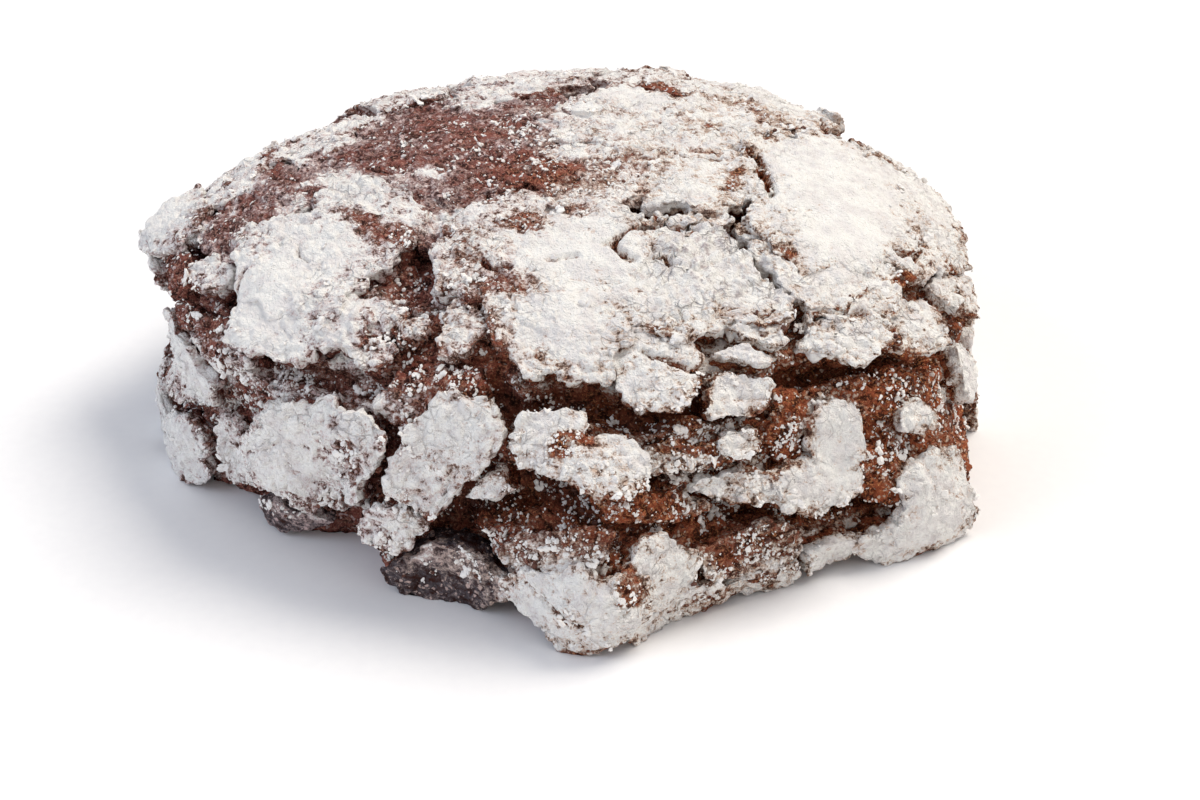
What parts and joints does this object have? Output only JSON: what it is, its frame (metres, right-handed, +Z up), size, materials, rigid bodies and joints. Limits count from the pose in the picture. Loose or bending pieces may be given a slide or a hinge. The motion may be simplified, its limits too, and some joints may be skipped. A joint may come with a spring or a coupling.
{
  "type": "chocolate biscuit",
  "caption": "Round crackled chocolate biscuit: a low dark bun whose sugar-dusted crust has split into plates over deep cracks.",
  "frame": {"origin": "middle of the bottom of the bun's box, on the surface it rests on", "axes": "+Z up through the crown; -Y towards the pointed foot at the front; +X to the right seen from the front"},
  "size_m": [0.068, 0.0686, 0.0242],
  "materials": {
    "biscuit": "matt dusting of icing sugar over dark chocolate crumb"
  },
  "bodies": {
    "root": {"biscuit": "biscuit"}
  },
  "joints": []
}
